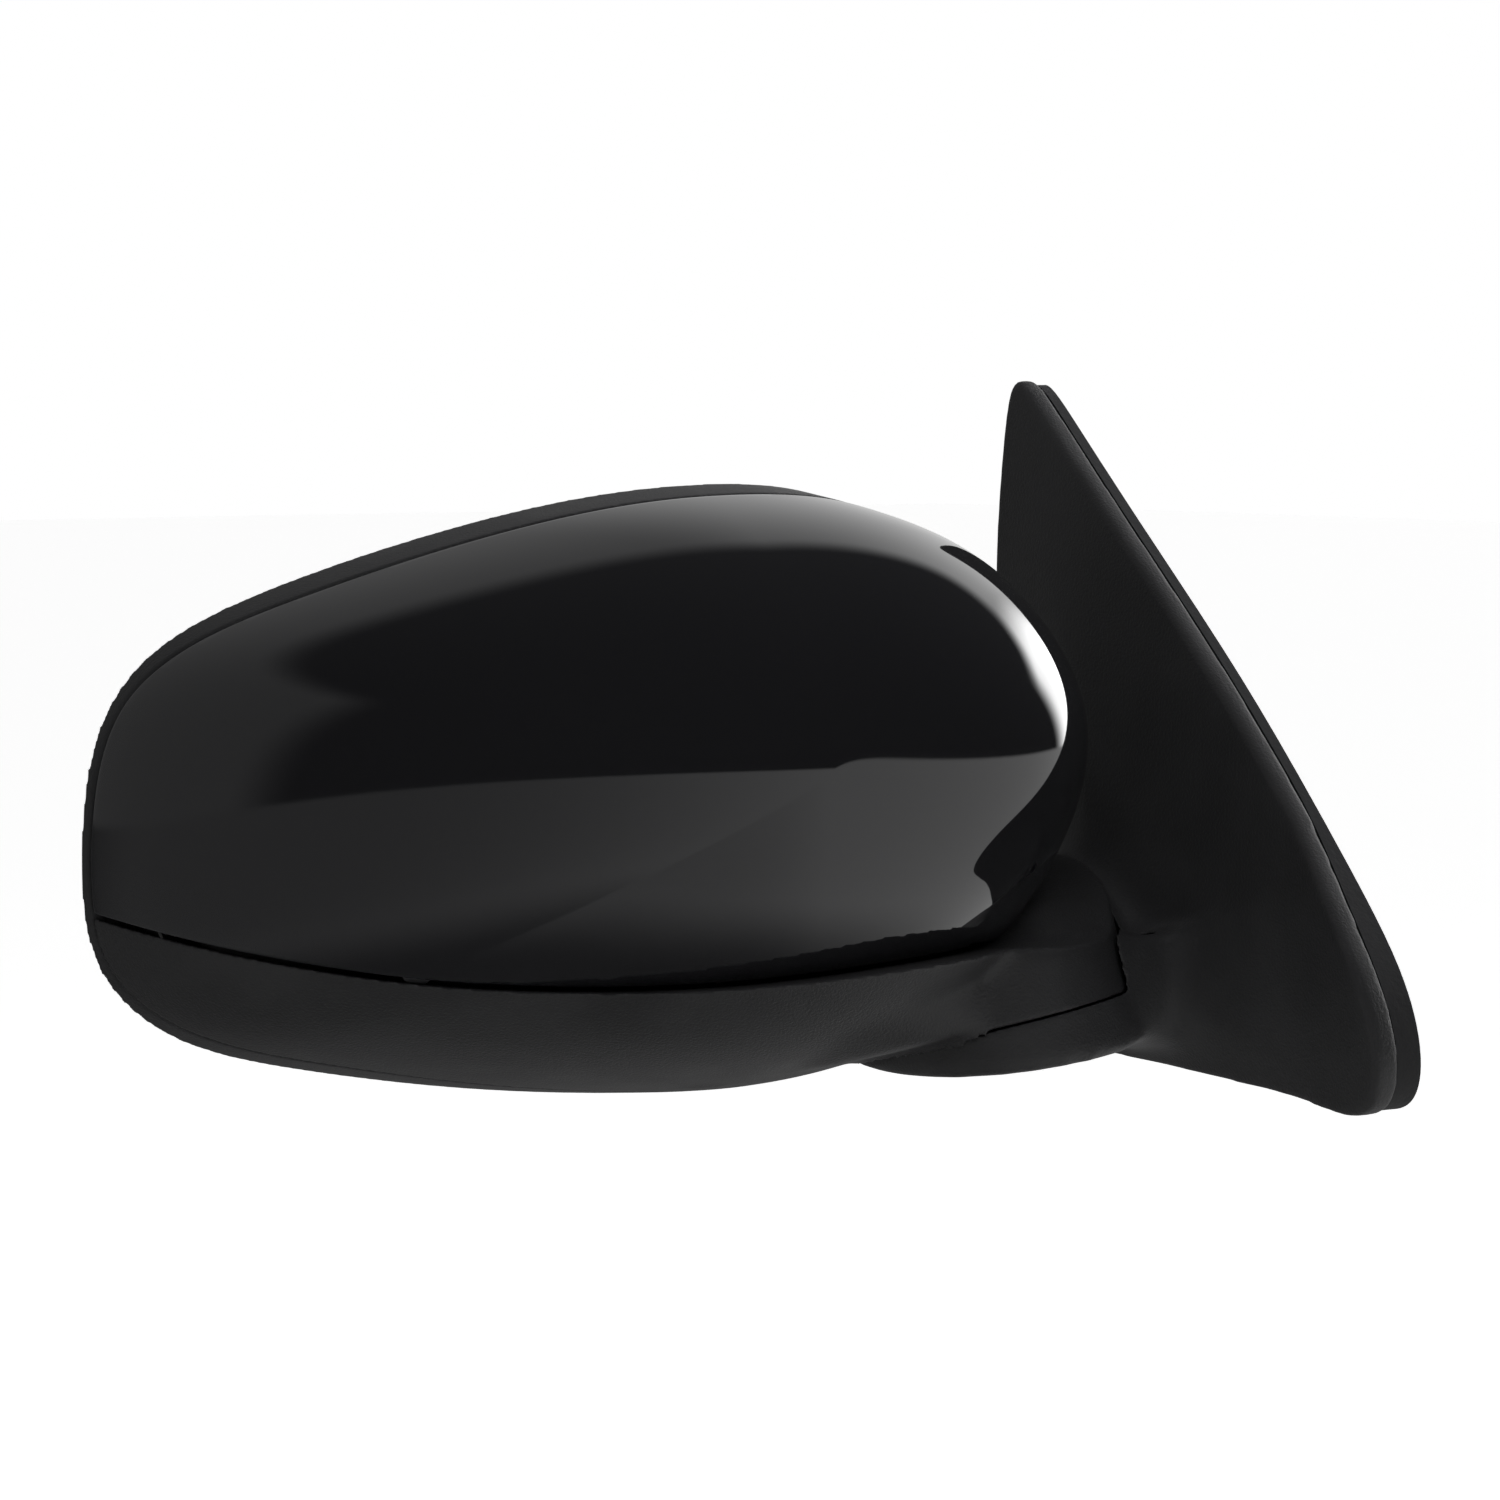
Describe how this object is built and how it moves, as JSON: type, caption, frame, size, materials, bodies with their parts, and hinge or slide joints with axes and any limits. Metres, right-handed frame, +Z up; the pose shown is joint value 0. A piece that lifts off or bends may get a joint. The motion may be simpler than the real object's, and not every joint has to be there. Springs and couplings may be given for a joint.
{
  "type": "power door mirror",
  "caption": "Passenger-side car door mirror with painted cap, sail base that bolts to the door, manual fold and motorised heated glass.",
  "frame": {"origin": "centre of the base casting's face that lies against the door", "axes": "+X into the door, +Y rearward (the glass looks that way), +Z up"},
  "size_m": [0.2638, 0.1724, 0.1641],
  "materials": {
    "gloss_black": "high gloss painted",
    "texture_black": "fine grained moulded",
    "sail_black": "fine grained moulded",
    "foam_rubber": "matte",
    "grommet_rubber": "satin",
    "die_cast": "as cast, tumbled",
    "zinc_steel": "zinc plated",
    "dark_steel": "oiled dark",
    "spring_steel": "drawn wire",
    "glass_filled": "glass filled moulding",
    "actuator_plastic": "smooth moulding",
    "motor_can": "drawn can",
    "gear_white": "acetal",
    "worm_dark": "acetal",
    "backing_black": "smooth moulding",
    "heater_film": "polyester film",
    "mirror_face": "silvered",
    "brass_tab": "tinned"
  },
  "bodies": {
    "base": {"sail_cover": "sail_black", "base_gasket": "foam_rubber", "base_casting": "die_cast", "mounting_studs": "zinc_steel", "cover_screws": "dark_steel", "wire_grommet": "grommet_rubber", "pivot_post": "zinc_steel", "stop_ring": "dark_steel", "thrust_washer": "gear_white", "pivot_spring": "spring_steel", "spring_retainer": "dark_steel"},
    "head": {"front_cap": "gloss_black", "rear_housing": "texture_black", "lower_housing": "texture_black", "head_frame": "glass_filled", "frame_screws": "dark_steel", "actuator_base": "actuator_plastic", "actuator_cover": "actuator_plastic", "actuator_screws": "zinc_steel", "tilt_motor": "motor_can", "pan_motor": "motor_can", "tilt_worm": "worm_dark", "pan_worm": "worm_dark", "connector_inlet": "actuator_plastic"},
    "tilt_nut": {"tilt_gear": "gear_white"},
    "pan_nut": {"pan_gear": "gear_white"},
    "tilt_rod": {"tilt_plunger": "gear_white"},
    "pan_rod": {"pan_plunger": "gear_white"},
    "gimbal": {"gimbal_ring": "actuator_plastic"},
    "glass": {"glass_backing": "backing_black", "heater_pad": "heater_film", "mirror_glass": "mirror_face", "heater_terminals": "brass_tab"}
  },
  "joints": [
    {"name": "head_fold", "type": "hinge", "parent": "base", "child": "head", "pos_m": [-0.05, -0.008, -0.039], "axis": [0.1535, -0.1788, -0.9718], "range_deg": [-30, 62]},
    {"name": "glass_tilt", "type": "hinge", "parent": "head", "child": "gimbal", "pos_m": [-0.15261, 0.03835, 0.012], "axis": [0.9781, -0.2079, 0], "range_deg": [-6, 6]},
    {"name": "glass_pan", "type": "hinge", "parent": "gimbal", "child": "glass", "pos_m": [-0.15261, 0.03835, 0.012], "axis": [0, 0, 1], "range_deg": [-6, 6]},
    {"name": "tilt_rod_slide", "type": "slide", "parent": "head", "child": "tilt_rod", "axis": [0.2079, 0.9781, 0], "range_m": [-0.0033, 0.0033]},
    {"name": "pan_rod_slide", "type": "slide", "parent": "head", "child": "pan_rod", "axis": [0.2079, 0.9781, 0], "range_m": [-0.0033, 0.0033]},
    {"name": "tilt_nut_turn", "type": "hinge", "parent": "head", "child": "tilt_nut", "pos_m": [-0.15593, 0.02269, -0.018], "axis": [0.2079, 0.9781, 0], "range_deg": [-98, 98]},
    {"name": "pan_nut_turn", "type": "hinge", "parent": "head", "child": "pan_nut", "pos_m": [-0.12659, 0.01646, 0.012], "axis": [0.2079, 0.9781, 0], "range_deg": [-98, 98]}
  ],
  "couplings": [
    {"joint": "tilt_rod_slide", "follows": "glass_tilt", "m_per_rad": 0.03},
    {"joint": "pan_rod_slide", "follows": "glass_pan", "m_per_rad": 0.03},
    {"joint": "tilt_nut_turn", "follows": "glass_tilt", "ratio": 15.708},
    {"joint": "pan_nut_turn", "follows": "glass_pan", "ratio": 15.708}
  ]
}
